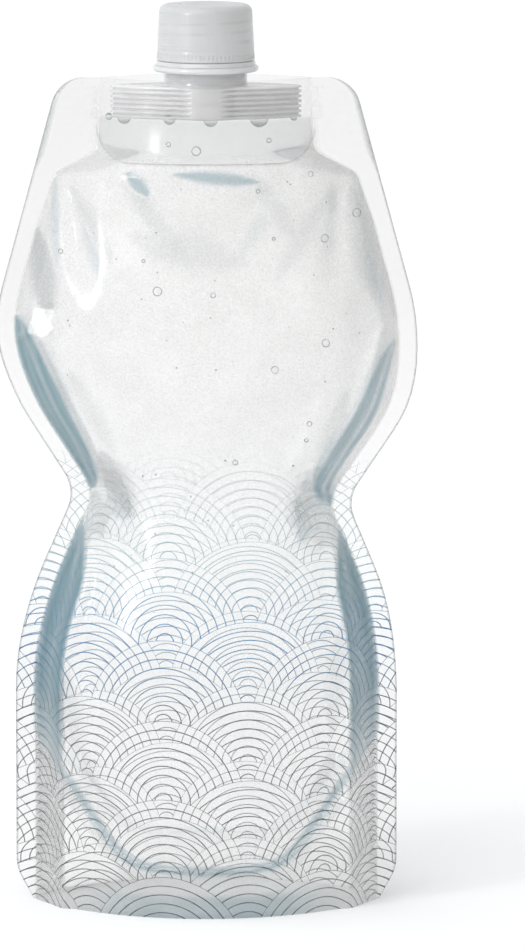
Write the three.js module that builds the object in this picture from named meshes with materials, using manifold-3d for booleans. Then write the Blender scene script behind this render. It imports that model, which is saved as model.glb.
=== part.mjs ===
// Folding water bottle: a stand-up pouch of welded film, a moulded spout and a screw cap.
// Millimetres, +Z up, front towards -Y. The origin is the middle of the base, on the floor.
import * as THREE from 'three';
import { mergeVertices } from 'three/addons/utils/BufferGeometryUtils.js';
import Module from 'manifold-3d';

// ---------------------------------------------------------------- driving dimensions

const CLEARANCE = 0.3; // between pieces that touch or nearly touch

// pouch outline, seen from the front: corners of one side, each rounded by its radius
const POUCH_HEIGHT = 270.5; // floor to the top edge of the film
const BASE_HALF_WIDTH = 62.4;
const BASE_CORNER = { inset: 5.6, height: 10, radius: 14 };
const HIP = { height: 91.7, radius: 110 };
const WAIST = { halfWidth: 44.3, height: 133.8, radius: 12 };
const SHOULDER = { halfWidth: 73.1, height: 177.7, radius: 55 };
const TOP = { halfWidth: 47.8, radius: 11 };

// film and welds
const FILM = 0.8; // thickness of one panel, as a solid
const SIDE_WELD = 6.2; // width of the flat weld along both sides
// where the chamber narrows to the spout, measured down from the top edge: a corner, then the spout's seam
const THROAT = { start: 46.5, corner: 31, end: 24, step: 5.4, sideRoom: 1, cornerRadius: 4 };

// half of the filled pouch's depth at the middle, at each height
const BASE_DEPTH = 37;
const BELLY = { depth: 38.5, height: 42 };
const HIP_DEPTH = 35;
const WAIST_DEPTH = 25;
const CHEST = { depth: 28, aboveShoulder: 12 };
const NECKLINE = { depth: 18.5, belowTop: 32.5 };

// how full the cross-section is: 0.5 is an ellipse, 1 is a lens
const CHAMBER_FULLNESS = 0.62;
const SKIRT_FULLNESS = 0.75;
const SPOUT_FULLNESS = 1;

// bottom gusset
const GUSSET = { height: 14.8, flatHalfWidth: 27, slope: 1.39, blend: 7, sag: 10.8, sideGap: 2.2, gap: 0.9 };

// spout
const BORE_RADIUS = 10.6;
const BOAT = { halfLength: 31, wall: 3.8, height: 11.2, tip: 0.5, ribs: 7, ribDepth: 0.8 };
const BOAT_ROOM = 0.7; // from the boat to the panels around it
const SPOUT_BELOW_TOP = 1.7; // the boat's top below the film's top edge
const NECK_WALL = 1.9; // from the bore to the root of the outside thread
const FLANGE = { width: 4.8, thickness: 2, abovePouch: 2.1 };
const NECK_HEIGHT = 16.5; // flange to the rim
const RIM_CHAMFER = 0.6;

// screw thread, shared by spout and cap
const PITCH = 3.2;
const THREAD = { height: 1.2, rootWidth: 1.6, crestWidth: 0.8, turns: 2.25, below: 3.2 };
const THREAD_SLACK = 0.6; // sideways room between the crests and the facing wall

// cap
const CAP = { height: 18.2, taper: 0.8, wall: 1.7, roof: 1.5, edgeRadius: 2.4, turns: 1.75 };
const SEAL = { thickness: 1.2 };

// mesh fineness
const ROUND_STEPS = 40; // around the spout and the cap
const THREAD_STEPS = 24; // per turn
const ARC_STEPS = 3; // along each rounded corner of the outline
const ROW_GAP = 10.5; // largest step between two rows of a panel
const ROW_MERGE = 3.4; // smallest step
const COLUMNS = 8; // across half of the chamber
const SEAM_COLUMNS = 2; // across one side weld
const GUSSET_COLUMNS = 9; // across half of the gusset
const GUSSET_SKIRT_ROWS = 3; // from the floor up to the fold
const GUSSET_FLOOR_ROWS = 8; // from the front fold to the back one
const OVAL_STEPS = 9; // along each side of the boat

// ---------------------------------------------------------------- places that follow from them

const NECK_RADIUS = BORE_RADIUS + NECK_WALL;
const FLANGE_RADIUS = NECK_RADIUS + FLANGE.width;
const BOAT_HALF_DEPTH = BORE_RADIUS + BOAT.wall;
const BOAT_TOP = POUCH_HEIGHT - SPOUT_BELOW_TOP;
const BOAT_BOTTOM = BOAT_TOP - BOAT.height;
const FLANGE_BOTTOM = POUCH_HEIGHT + FLANGE.abovePouch;
const FLANGE_TOP = FLANGE_BOTTOM + FLANGE.thickness;
const NECK_TOP = FLANGE_TOP + NECK_HEIGHT;
const SEAL_BOTTOM = NECK_TOP + CLEARANCE;
const CAP_ROOF = SEAL_BOTTOM + SEAL.thickness + CLEARANCE;
const CAP_TOP = CAP_ROOF + CAP.roof;
const CAP_BOTTOM = CAP_TOP - CAP.height;
const CREST_RADIUS = NECK_RADIUS + THREAD.height;
const CAP_INNER_RADIUS = CREST_RADIUS + THREAD_SLACK;
const CAP_OUTER_RADIUS = CAP_INNER_RADIUS + CAP.wall;

const LAYER = FILM + CLEARANCE; // from the middle of one film to the middle of the next
const WELD_DEPTH = LAYER / 2; // from the seam plane to the middle of a panel, in the welds
const SPOUT_DEPTH = BOAT_HALF_DEPTH + BOAT_ROOM + FILM / 2;
const SPOUT_SEAM = BOAT.halfLength + 3; // where the panels meet beside the boat
const SEAM_AT_BASE = BASE_HALF_WIDTH - SIDE_WELD;
const THROAT_START = POUCH_HEIGHT - THROAT.start;
const THROAT_END = POUCH_HEIGHT - THROAT.end;
const NECKLINE_HEIGHT = POUCH_HEIGHT - NECKLINE.belowTop;

const wasm = await Module();
wasm.setup();

// ---------------------------------------------------------------- small helpers

const clamp01 = (v) => Math.min(1, Math.max(0, v));
const smoothstep = (a, b, v) => {
  const t = clamp01((v - a) / (b - a));
  return t * t * (3 - 2 * t);
};

// points of an open line whose inner corners are rounded; corners are [x, z, radius]
function roundedLine(corners) {
  const points = [new THREE.Vector2(...corners[0])];
  for (let i = 1; i < corners.length - 1; i++) {
    const corner = new THREE.Vector2(corners[i][0], corners[i][1]);
    const back = new THREE.Vector2(corners[i - 1][0], corners[i - 1][1]).sub(corner);
    const ahead = new THREE.Vector2(corners[i + 1][0], corners[i + 1][1]).sub(corner);
    const half = back.angleTo(ahead) / 2;
    const reach = corners[i][2] / Math.tan(half);
    back.normalize();
    ahead.normalize();
    const middle = back.clone().add(ahead).normalize();
    const centre = corner.clone().addScaledVector(middle, corners[i][2] / Math.sin(half));
    const from = corner.clone().addScaledVector(back, reach).sub(centre);
    const to = corner.clone().addScaledVector(ahead, reach).sub(centre);
    const turn = Math.atan2(from.cross(to), from.dot(to));
    for (let s = 0; s <= ARC_STEPS; s++) {
      const spoke = from.clone().rotateAround(new THREE.Vector2(), (turn * s) / ARC_STEPS);
      points.push(centre.clone().add(spoke));
    }
  }
  points.push(new THREE.Vector2(...corners[corners.length - 1]));
  return points;
}

// x on a rising line at height z
function xAt(points, z) {
  let i = 1;
  while (i < points.length - 1 && points[i].y < z) i++;
  const [a, b] = [points[i - 1], points[i]];
  return THREE.MathUtils.lerp(a.x, b.x, clamp01((z - a.y) / (b.y - a.y || 1)));
}

function toSolid(geometry) {
  const bare = geometry.clone();
  bare.deleteAttribute('normal');
  bare.deleteAttribute('uv');
  const merged = mergeVertices(bare, 1e-4);
  const mesh = new wasm.Mesh({
    numProp: 3,
    vertProperties: new Float32Array(merged.attributes.position.array),
    triVerts: new Uint32Array(merged.index.array),
  });
  return new wasm.Manifold(mesh);
}

function toGeometry(solid) {
  const mesh = solid.getMesh();
  const geometry = new THREE.BufferGeometry();
  geometry.setAttribute('position', new THREE.BufferAttribute(mesh.vertProperties, 3));
  geometry.setIndex(new THREE.BufferAttribute(mesh.triVerts, 1));
  geometry.computeVertexNormals();
  return geometry;
}

// a closed ring or disc turned about Z from a profile of [radius, z]
function turned(profile) {
  const closed = profile.map(([r, z]) => new THREE.Vector2(r, z));
  const geometry = new THREE.LatheGeometry(closed, ROUND_STEPS);
  geometry.rotateX(Math.PI / 2);
  return geometry;
}

// a grid of points, rows by columns, thickened by `thickness` into one closed sheet
function sheet(grid, thickness, flatRows) {
  const rows = grid.length;
  const columns = grid[0].length;
  const point = (r, c) => grid[Math.min(rows - 1, Math.max(0, r))][Math.min(columns - 1, Math.max(0, c))];
  const vertices = [];
  for (const side of [0.5, -0.5]) {
    for (let r = 0; r < rows; r++) {
      for (let c = 0; c < columns; c++) {
        const along = point(r, c + 1).clone().sub(point(r, c - 1));
        const up = point(r + 1, c).clone().sub(point(r - 1, c));
        const normal = along.cross(up);
        if (flatRows && (r === 0 || r === rows - 1)) normal.z = 0;
        normal.setLength(side * thickness);
        vertices.push(...point(r, c).clone().add(normal).toArray());
      }
    }
  }
  const far = rows * columns;
  const index = [];
  const quad = (a, b, c, d) => index.push(a, b, c, a, c, d);
  for (let r = 0; r < rows - 1; r++) {
    for (let c = 0; c < columns - 1; c++) {
      const a = r * columns + c;
      quad(a, a + 1, a + columns + 1, a + columns);
      quad(far + a, far + a + columns, far + a + columns + 1, far + a + 1);
    }
  }
  for (let c = 0; c < columns - 1; c++) {
    const last = (rows - 1) * columns + c;
    quad(c, far + c, far + c + 1, c + 1);
    quad(last, last + 1, far + last + 1, far + last);
  }
  for (let r = 0; r < rows - 1; r++) {
    const a = r * columns;
    const b = a + columns - 1;
    quad(a, a + columns, far + a + columns, far + a);
    quad(b, far + b, far + b + columns, b + columns);
  }
  const geometry = new THREE.BufferGeometry();
  geometry.setAttribute('position', new THREE.Float32BufferAttribute(vertices, 3));
  geometry.setIndex(index);
  geometry.computeVertexNormals();
  return geometry;
}

// ---------------------------------------------------------------- shape of the pouch

const OUTLINE = roundedLine([
  [BASE_HALF_WIDTH - BASE_CORNER.inset, 0],
  [BASE_HALF_WIDTH, BASE_CORNER.height, BASE_CORNER.radius],
  [BASE_HALF_WIDTH, HIP.height, HIP.radius],
  [WAIST.halfWidth, WAIST.height, WAIST.radius],
  [SHOULDER.halfWidth, SHOULDER.height, SHOULDER.radius],
  [TOP.halfWidth, POUCH_HEIGHT, TOP.radius],
  [0, POUCH_HEIGHT],
]).slice(0, -1);

const halfWidth = (z) => xAt(OUTLINE, z);

const THROAT_LINE = roundedLine([
  [halfWidth(THROAT_START) - SIDE_WELD, THROAT_START],
  [
    halfWidth(THROAT_START) - SIDE_WELD - THROAT.step,
    POUCH_HEIGHT - THROAT.corner,
    THROAT.cornerRadius,
  ],
  [SPOUT_SEAM + THROAT.sideRoom, THROAT_END, THROAT.cornerRadius],
  [SPOUT_SEAM, POUCH_HEIGHT],
]);

// where the two panels part, measured from the middle
function seamHalfWidth(z) {
  if (z < 2 * BASE_CORNER.height) return SEAM_AT_BASE;
  if (z < THROAT_START) return halfWidth(z) - SIDE_WELD;
  return xAt(THROAT_LINE, z);
}

const DEPTHS = new THREE.CatmullRomCurve3(
  [
    [BASE_DEPTH, 0],
    [BELLY.depth, BELLY.height],
    [HIP_DEPTH, HIP.height - 8],
    [WAIST_DEPTH, WAIST.height],
    [CHEST.depth, SHOULDER.height + CHEST.aboveShoulder],
    [NECKLINE.depth, NECKLINE_HEIGHT],
    [SPOUT_DEPTH, BOAT_BOTTOM],
    [SPOUT_DEPTH, POUCH_HEIGHT],
  ].map(([depth, z]) => new THREE.Vector3(depth, z, 0)),
).getPoints(80);

// distance of a panel's middle surface from the seam plane
function panelDepth(x, z) {
  const across = clamp01(Math.abs(x) / seamHalfWidth(z));
  const toSpout = smoothstep(NECKLINE_HEIGHT - 15, BOAT_BOTTOM, z);
  const toSkirt = 1 - smoothstep(0, GUSSET.height * 3, z);
  let fullness = THREE.MathUtils.lerp(CHAMBER_FULLNESS, SPOUT_FULLNESS, toSpout);
  fullness = THREE.MathUtils.lerp(fullness, SKIRT_FULLNESS, toSkirt);
  const swell = Math.pow(1 - across * across, fullness);
  return WELD_DEPTH + (xAt(DEPTHS, z) - WELD_DEPTH) * swell;
}

// heights of the panel's rows: at the outline's own points, and never further apart than ROW_GAP
function rowHeights() {
  const wanted = [...OUTLINE, ...THROAT_LINE].map((p) => p.y).sort((a, b) => a - b);
  const heights = [0];
  for (const z of wanted) {
    const last = heights[heights.length - 1];
    if (z - last < ROW_MERGE) continue;
    const steps = Math.ceil((z - last) / ROW_GAP);
    for (let s = 1; s <= steps; s++) heights.push(last + ((z - last) * s) / steps);
  }
  heights[heights.length - 1] = POUCH_HEIGHT;
  return heights;
}

function panel(side) {
  const grid = rowHeights().map((z) => {
    const row = [];
    const seam = seamHalfWidth(z);
    for (let c = -COLUMNS - SEAM_COLUMNS; c <= COLUMNS + SEAM_COLUMNS; c++) {
      const inside = Math.min(Math.abs(c), COLUMNS) / COLUMNS;
      const outside = Math.max(0, Math.abs(c) - COLUMNS) / SEAM_COLUMNS;
      const reach = seam * Math.sin((inside * Math.PI) / 2) + (halfWidth(z) - seam) * outside;
      const x = Math.sign(c) * reach * side;
      row.push(new THREE.Vector3(x, -side * panelDepth(x, z), z));
    }
    return row;
  });
  return sheet(grid, FILM, true);
}

// height of the line where the gusset leaves the panels
function foldHeight(x) {
  const past = Math.abs(x) - GUSSET.flatHalfWidth;
  const rise = (Math.sqrt(past * past + GUSSET.blend * GUSSET.blend) + past) / 2;
  return GUSSET.height + GUSSET.slope * rise;
}

// distance of the gusset's skirt from the seam plane: one layer inside the panel
function skirtDepth(x, z) {
  const step = 0.5;
  const lean = (panelDepth(Math.abs(x) + step, z) - panelDepth(Math.abs(x) - step, z)) / (2 * step);
  return panelDepth(x, z) - (FILM + GUSSET.gap) * Math.hypot(1, lean);
}

function gusset() {
  const reach = SEAM_AT_BASE - GUSSET.sideGap;
  const grid = [];
  for (let c = -GUSSET_COLUMNS; c <= GUSSET_COLUMNS; c++) {
    const x = reach * Math.sin(((c / GUSSET_COLUMNS) * Math.PI) / 2);
    const fold = foldHeight(x);
    const foldDepth = skirtDepth(x, fold);
    const sag = GUSSET.sag * Math.min(1, foldDepth / BASE_DEPTH + 0.25);
    const row = [];
    for (let s = 0; s < GUSSET_SKIRT_ROWS; s++) {
      const z = (fold * s) / GUSSET_SKIRT_ROWS;
      row.push(new THREE.Vector3(x, -skirtDepth(x, z), z));
    }
    for (let s = 0; s <= GUSSET_FLOOR_ROWS; s++) {
      const across = (2 * s) / GUSSET_FLOOR_ROWS - 1;
      row.push(new THREE.Vector3(x, foldDepth * across, fold - sag * (1 - across * across)));
    }
    for (let s = GUSSET_SKIRT_ROWS - 1; s >= 0; s--) {
      const z = (fold * s) / GUSSET_SKIRT_ROWS;
      row.push(new THREE.Vector3(x, skirtDepth(x, z), z));
    }
    grid.push(row);
  }
  const rows = grid[0].map((_, r) => grid.map((column) => column[r]));
  return sheet(rows, FILM, true);
}

// ---------------------------------------------------------------- spout

// a pointed oval of the given half sizes, extruded upwards from z
function ovalPlate(halfLength, halfDepth, z, height) {
  const bulge = halfDepth - BOAT.tip;
  const radius = (halfLength * halfLength + bulge * bulge) / (2 * bulge);
  const half = Math.asin(halfLength / radius);
  const shape = new THREE.Shape();
  shape.absarc(0, radius - halfDepth, radius, -Math.PI / 2 - half, -Math.PI / 2 + half, false);
  shape.absarc(0, halfDepth - radius, radius, Math.PI / 2 - half, Math.PI / 2 + half, false);
  const plate = new THREE.ExtrudeGeometry(shape, {
    depth: height,
    bevelEnabled: false,
    curveSegments: OVAL_STEPS,
  });
  plate.translate(0, 0, z);
  return plate;
}

// a helical ridge from angle 0, climbing one pitch a turn, thickest at `rootRadius`
function ridge(rootRadius, crestRadius, bottom, turns) {
  const steps = Math.round(turns * THREAD_STEPS);
  const bury = Math.sign(rootRadius - crestRadius) * 0.5;
  const vertices = [];
  for (let s = 0; s <= steps; s++) {
    const angle = (s / THREAD_STEPS) * 2 * Math.PI;
    const z = bottom + (s / THREAD_STEPS) * PITCH;
    const full = smoothstep(0, THREAD_STEPS / 5, Math.min(s, steps - s));
    const crest = THREE.MathUtils.lerp(rootRadius + bury * 0.5, crestRadius, full);
    const section = [
      [rootRadius + bury, -THREAD.rootWidth / 2],
      [rootRadius + bury, THREAD.rootWidth / 2],
      [crest, THREAD.crestWidth / 2],
      [crest, -THREAD.crestWidth / 2],
    ];
    for (const [r, dz] of section) vertices.push(r * Math.cos(angle), r * Math.sin(angle), z + dz);
  }
  const index = [];
  const outward = crestRadius > rootRadius;
  const face = (a, b, c) => index.push(...(outward ? [a, b, c] : [a, c, b]));
  for (let s = 0; s < steps; s++) {
    for (let k = 0; k < 4; k++) {
      const [a, b] = [s * 4 + k, s * 4 + ((k + 1) % 4)];
      face(a, b, b + 4);
      face(a, b + 4, a + 4);
    }
  }
  const end = steps * 4;
  face(0, 2, 1);
  face(0, 3, 2);
  face(end, end + 1, end + 2);
  face(end, end + 2, end + 3);
  const geometry = new THREE.BufferGeometry();
  geometry.setAttribute('position', new THREE.Float32BufferAttribute(vertices, 3));
  geometry.setIndex(index);
  return geometry;
}

function spout() {
  let solid = toSolid(
    ovalPlate(BOAT.halfLength - BOAT.ribDepth, BOAT_HALF_DEPTH - BOAT.ribDepth, BOAT_BOTTOM, BOAT.height),
  );
  const ribPitch = BOAT.height / (BOAT.ribs - 0.5);
  for (let i = 0; i < BOAT.ribs; i++) {
    const rib = ovalPlate(BOAT.halfLength, BOAT_HALF_DEPTH, BOAT_BOTTOM + i * ribPitch, ribPitch / 2);
    solid = solid.add(toSolid(rib));
  }
  const neck = turned([
    [0, BOAT_TOP - 1],
    [BOAT_HALF_DEPTH - BOAT.ribDepth, BOAT_TOP - 1],
    [BOAT_HALF_DEPTH - BOAT.ribDepth, FLANGE_BOTTOM],
    [FLANGE_RADIUS - RIM_CHAMFER, FLANGE_BOTTOM],
    [FLANGE_RADIUS, FLANGE_BOTTOM + RIM_CHAMFER],
    [FLANGE_RADIUS, FLANGE_TOP - RIM_CHAMFER],
    [FLANGE_RADIUS - RIM_CHAMFER, FLANGE_TOP],
    [NECK_RADIUS, FLANGE_TOP],
    [NECK_RADIUS, NECK_TOP - RIM_CHAMFER],
    [NECK_RADIUS - RIM_CHAMFER, NECK_TOP],
    [0, NECK_TOP],
  ]);
  const threadBottom = NECK_TOP - THREAD.below - THREAD.turns * PITCH;
  const bore = turned([
    [0, BOAT_BOTTOM - 1],
    [BORE_RADIUS, BOAT_BOTTOM - 1],
    [BORE_RADIUS, NECK_TOP + 1],
    [0, NECK_TOP + 1],
  ]);
  solid = solid
    .add(toSolid(neck))
    .add(toSolid(ridge(NECK_RADIUS, CREST_RADIUS, threadBottom, THREAD.turns)))
    .subtract(toSolid(bore));
  return toGeometry(solid);
}

// ---------------------------------------------------------------- cap and seal

function cap() {
  const topRadius = CAP_OUTER_RADIUS - CAP.taper;
  const shell = [
    [0, CAP_ROOF],
    [CAP_INNER_RADIUS, CAP_ROOF],
    [CAP_INNER_RADIUS, CAP_BOTTOM],
    [CAP_OUTER_RADIUS, CAP_BOTTOM],
  ];
  for (let s = 0; s <= ARC_STEPS; s++) {
    const angle = ((s / ARC_STEPS) * Math.PI) / 2;
    shell.push([
      topRadius - CAP.edgeRadius * (1 - Math.cos(angle)),
      CAP_TOP - CAP.edgeRadius * (1 - Math.sin(angle)),
    ]);
  }
  shell.push([0, CAP_TOP]);
  // the cap's ridge lies half a pitch from the spout's, so the two stay in mesh as it turns
  const ridgeBottom = NECK_TOP - THREAD.below - THREAD.turns * PITCH + PITCH / 2;
  const crest = NECK_RADIUS + THREAD_SLACK;
  const thread = ridge(CAP_INNER_RADIUS, crest, ridgeBottom, CAP.turns);
  return toGeometry(toSolid(turned(shell)).add(toSolid(thread)));
}

function seal() {
  const radius = CAP_INNER_RADIUS - CLEARANCE;
  return turned([
    [0, SEAL_BOTTOM],
    [radius, SEAL_BOTTOM],
    [radius, SEAL_BOTTOM + SEAL.thickness],
    [0, SEAL_BOTTOM + SEAL.thickness],
  ]);
}

// ---------------------------------------------------------------- the bottle

const film = new THREE.MeshStandardMaterial({
  color: 0xe9edef,
  roughness: 0.12,
  transparent: true,
  opacity: 0.35,
});
const moulding = new THREE.MeshStandardMaterial({ color: 0xd6d8da, roughness: 0.38 });
const liner = new THREE.MeshStandardMaterial({ color: 0xf0f0ee, roughness: 0.7 });

function piece(name, geometry, material) {
  const mesh = new THREE.Mesh(geometry, material);
  mesh.name = name;
  return mesh;
}

const group = new THREE.Group();
group.add(
  piece('front_film', panel(1), film),
  piece('back_film', panel(-1), film),
  piece('bottom_gusset', gusset(), film),
  piece('spout', spout(), moulding),
  piece('cap_seal', seal(), liner),
  piece('cap', cap(), moulding),
);

export default group;
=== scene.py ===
"""Looks of the folding water bottle: printed clear film, waterline, milky spout and cap."""
import math
import random

import bpy
import bmesh
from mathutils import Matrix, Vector, noise


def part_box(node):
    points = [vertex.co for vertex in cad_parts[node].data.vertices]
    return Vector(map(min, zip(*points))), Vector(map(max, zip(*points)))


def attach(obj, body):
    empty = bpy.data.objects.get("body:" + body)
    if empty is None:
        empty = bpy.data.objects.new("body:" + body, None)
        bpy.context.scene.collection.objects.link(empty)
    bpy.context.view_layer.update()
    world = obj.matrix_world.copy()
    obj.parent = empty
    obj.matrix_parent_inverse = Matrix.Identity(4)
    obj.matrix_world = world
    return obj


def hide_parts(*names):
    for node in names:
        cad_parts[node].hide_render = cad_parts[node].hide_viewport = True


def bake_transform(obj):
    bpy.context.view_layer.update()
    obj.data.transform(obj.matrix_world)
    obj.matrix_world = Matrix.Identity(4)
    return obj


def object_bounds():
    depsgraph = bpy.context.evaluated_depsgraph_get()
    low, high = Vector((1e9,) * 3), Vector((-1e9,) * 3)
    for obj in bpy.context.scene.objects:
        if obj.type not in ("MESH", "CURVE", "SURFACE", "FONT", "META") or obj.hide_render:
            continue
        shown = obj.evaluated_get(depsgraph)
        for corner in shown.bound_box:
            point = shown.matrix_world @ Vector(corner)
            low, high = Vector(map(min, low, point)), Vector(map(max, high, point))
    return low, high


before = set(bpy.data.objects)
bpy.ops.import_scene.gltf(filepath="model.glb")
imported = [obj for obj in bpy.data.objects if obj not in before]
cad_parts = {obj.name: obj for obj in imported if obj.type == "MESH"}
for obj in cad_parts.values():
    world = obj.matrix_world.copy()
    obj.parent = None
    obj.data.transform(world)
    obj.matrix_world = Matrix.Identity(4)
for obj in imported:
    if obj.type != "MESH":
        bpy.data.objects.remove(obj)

CAD_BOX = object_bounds()
MM = 0.001

# ---------------------------------------------------------------- sizes, in millimetres

FILM_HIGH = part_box("front_film")[1]
SPOUT_LOW, SPOUT_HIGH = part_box("spout")
CAP_LOW, CAP_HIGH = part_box("cap")
SEAL_LOW, SEAL_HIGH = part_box("cap_seal")

POUCH_HEIGHT = FILM_HIGH.z / MM
BASE_HALF_WIDTH = 62.4
HIP_HEIGHT, HIP_RADIUS = 91.7, 110
WAIST_HALF_WIDTH, WAIST_HEIGHT, WAIST_RADIUS = 44.3, 133.8, 12
SHOULDER_HALF_WIDTH, SHOULDER_HEIGHT, SHOULDER_RADIUS = 73.1, 177.7, 55
TOP_HALF_WIDTH, TOP_RADIUS = 47.8, 11
CORNER_INSET, CORNER_HEIGHT, CORNER_RADIUS = 5.6, 10, 14
SIDE_WELD = 6.2
SEAM_AT_BASE = BASE_HALF_WIDTH - SIDE_WELD
THROAT_START = POUCH_HEIGHT - 46.5
THROAT_END = POUCH_HEIGHT - 23.5
NECKLINE = POUCH_HEIGHT - 32.5

SKIN = 0.3            # thickness of the shown film
WELD_HALF = 0.35      # from the seam plane to the outside of a panel, in the welds
CAD_HALF_FILM = 0.4   # the solids' panels are described by their middle

BOAT_BOTTOM = SPOUT_LOW.z / MM
BOAT_TOP = POUCH_HEIGHT - 2.4
BOAT_HALF_LENGTH = SPOUT_HIGH.x / MM
BOAT_HALF_DEPTH = 14.4
WING_INSET = 2.6      # how much thinner the boat's wings are than the round neck between them
BOAT_RIBS = 7
BOAT_TIP, RIB_DEPTH = 0.6, 0.95
BORE = 10.6
NECK = 12.5
PITCH = 3.2
FLANGE_RADIUS = SPOUT_HIGH.y / MM
FLANGE_BOTTOM = POUCH_HEIGHT + 2.1
FLANGE_TOP = FLANGE_BOTTOM + 2.0
NECK_TOP = SPOUT_HIGH.z / MM
BEAD, BEAD_TOP = 16.1, CAP_LOW.z / MM - 0.08    # the ring that shows below the cap
THREAD_TOP = NECK_TOP - 3.2
THREAD_TURNS, CAP_THREAD_TURNS = 2.25, 1.75
SPOUT_DEPTH = BOAT_HALF_DEPTH + 1.1
SPOUT_SEAM = BOAT_HALF_LENGTH + 3

GUSSET_HEIGHT, GUSSET_FLAT, GUSSET_SLOPE, GUSSET_BLEND, GUSSET_SAG = 14.8, 27, 1.39, 7, 10.8
GUSSET_GAP = 0.7      # from the panel's film to the gusset's
GROOVE_DEPTH, GROOVE_WIDTH = 1.3, 2.2    # pressed into the panels along the gusset's weld
SETTLE_SIDEWAYS, SETTLE_TILT = 1.6, 0.038

# the blades are the steep sides of the chamber, painted with a blue-green shade
BLADE_TOP = 193.0     # the sharp side corner of the upper chamber
UPPER_BLADE, LOWER_BLADE = 10.0, 9.0     # widest they get, above and below the waist
RIGHT_BLADE_GAP = 3.2     # the upper right one starts this far inside the seam
RIDGE_RISE, RIDGE_WIDTH = 0.085, 2.8     # where a blade turns forward; the rise is a share of depth

# half of the filled pouch's depth at the middle, at each height
DEPTHS = [
    (37.0, 0), (38.5, 42), (35.0, HIP_HEIGHT - 8), (25.0, WAIST_HEIGHT), (28.0, SHOULDER_HEIGHT + 12),
    (18.5, NECKLINE), (SPOUT_DEPTH, BOAT_BOTTOM), (SPOUT_DEPTH, POUCH_HEIGHT),
]


# ---------------------------------------------------------------- shape of the pouch

def clamp01(v):
    return min(1.0, max(0.0, v))


def smoothstep(a, b, v):
    t = clamp01((v - a) / (b - a))
    return t * t * (3 - 2 * t)


def mix(a, b, t):
    return a + (b - a) * t


def rounded_line(corners, steps=10):
    """Points of an open line whose inner corners are rounded; corners are (x, z, radius)."""
    points = [Vector(corners[0][:2])]
    for before, here, after in zip(corners, corners[1:], corners[2:]):
        corner = Vector(here[:2])
        back = (Vector(before[:2]) - corner).normalized()
        ahead = (Vector(after[:2]) - corner).normalized()
        half = back.angle(ahead) / 2
        reach = here[2] / math.tan(half)
        centre = corner + (back + ahead).normalized() * here[2] / math.sin(half)
        start, end = corner + back * reach - centre, corner + ahead * reach - centre
        turn = math.atan2(start.x * end.y - start.y * end.x, start.dot(end))
        for s in range(steps + 1):
            a = turn * s / steps
            points.append(centre + Vector((
                start.x * math.cos(a) - start.y * math.sin(a),
                start.x * math.sin(a) + start.y * math.cos(a))))
    points.append(Vector(corners[-1][:2]))
    return points


def x_at(points, z):
    """x on a rising line at height z."""
    for a, b in zip(points, points[1:]):
        if z <= b.y:
            return mix(a.x, b.x, clamp01((z - a.y) / ((b.y - a.y) or 1)))
    return points[-1].x


OUTLINE = rounded_line([
    (BASE_HALF_WIDTH - CORNER_INSET, 0),
    (BASE_HALF_WIDTH, CORNER_HEIGHT, CORNER_RADIUS),
    (BASE_HALF_WIDTH, HIP_HEIGHT, HIP_RADIUS),
    (WAIST_HALF_WIDTH, WAIST_HEIGHT, WAIST_RADIUS),
    (SHOULDER_HALF_WIDTH, SHOULDER_HEIGHT, SHOULDER_RADIUS),
    (TOP_HALF_WIDTH, POUCH_HEIGHT, TOP_RADIUS),
    (0, POUCH_HEIGHT)])[:-1]


def half_width(z):
    return x_at(OUTLINE, z)


CHAMBER_TOP = half_width(THROAT_START) - SIDE_WELD
CHAMBER_CORNER, CHAMBER_CORNER_HEIGHT = CHAMBER_TOP - 5.4, THROAT_START + 15.5
THROAT = rounded_line([
    (CHAMBER_TOP, THROAT_START),
    (CHAMBER_CORNER, CHAMBER_CORNER_HEIGHT, 4),
    (SPOUT_SEAM + 1, THROAT_END - 0.5, 4),
    (SPOUT_SEAM, POUCH_HEIGHT)])


def seam(z):
    """Where the two panels part, measured from the middle."""
    if z < 2 * CORNER_HEIGHT:
        return SEAM_AT_BASE
    if z < THROAT_START:
        return half_width(z) - SIDE_WELD
    return x_at(THROAT, z)


def middle_depth(z):
    """A smooth curve through DEPTHS."""
    i = 1
    while i < len(DEPTHS) - 2 and DEPTHS[i][1] < z:
        i += 1
    p = [DEPTHS[min(len(DEPTHS) - 1, max(0, k))] for k in (i - 2, i - 1, i, i + 1)]
    t = clamp01((z - p[1][1]) / (p[2][1] - p[1][1]))

    def slope(a, b, c):
        return 0.0 if a is c else (c[0] - a[0]) / max(1e-6, c[1] - a[1])

    span = p[2][1] - p[1][1]
    m0, m1 = slope(p[0], p[1], p[2]) * span, slope(p[1], p[2], p[3]) * span
    return ((2 * t ** 3 - 3 * t ** 2 + 1) * p[1][0] + (t ** 3 - 2 * t ** 2 + t) * m0
            + (3 * t ** 2 - 2 * t ** 3) * p[2][0] + (t ** 3 - t ** 2) * m1)


POCKET_HALF_WIDTH, POCKET_FLOOR, POCKET_CORNER = 35.5, 243.5, 11.0


def pocket(x, z):
    """1 inside the air pocket under the spout, whose lower corners are round."""
    past = max(0.0, abs(x) - (POCKET_HALF_WIDTH - POCKET_CORNER)) / POCKET_CORNER
    if past >= 1:
        return 0.0
    floor = POCKET_FLOOR + POCKET_CORNER * (1 - math.sqrt(1 - past * past))
    return smoothstep(floor - 0.8, floor + 0.8, z)


def settle(x, z):
    """A filled pouch stands a little crooked: its waist sits to the right, and lower on that side."""
    bend = smoothstep(75, 118, z) * (1 - smoothstep(163, 197, z))
    return x + SETTLE_SIDEWAYS * bend, z - SETTLE_TILT * x * bend


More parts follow.
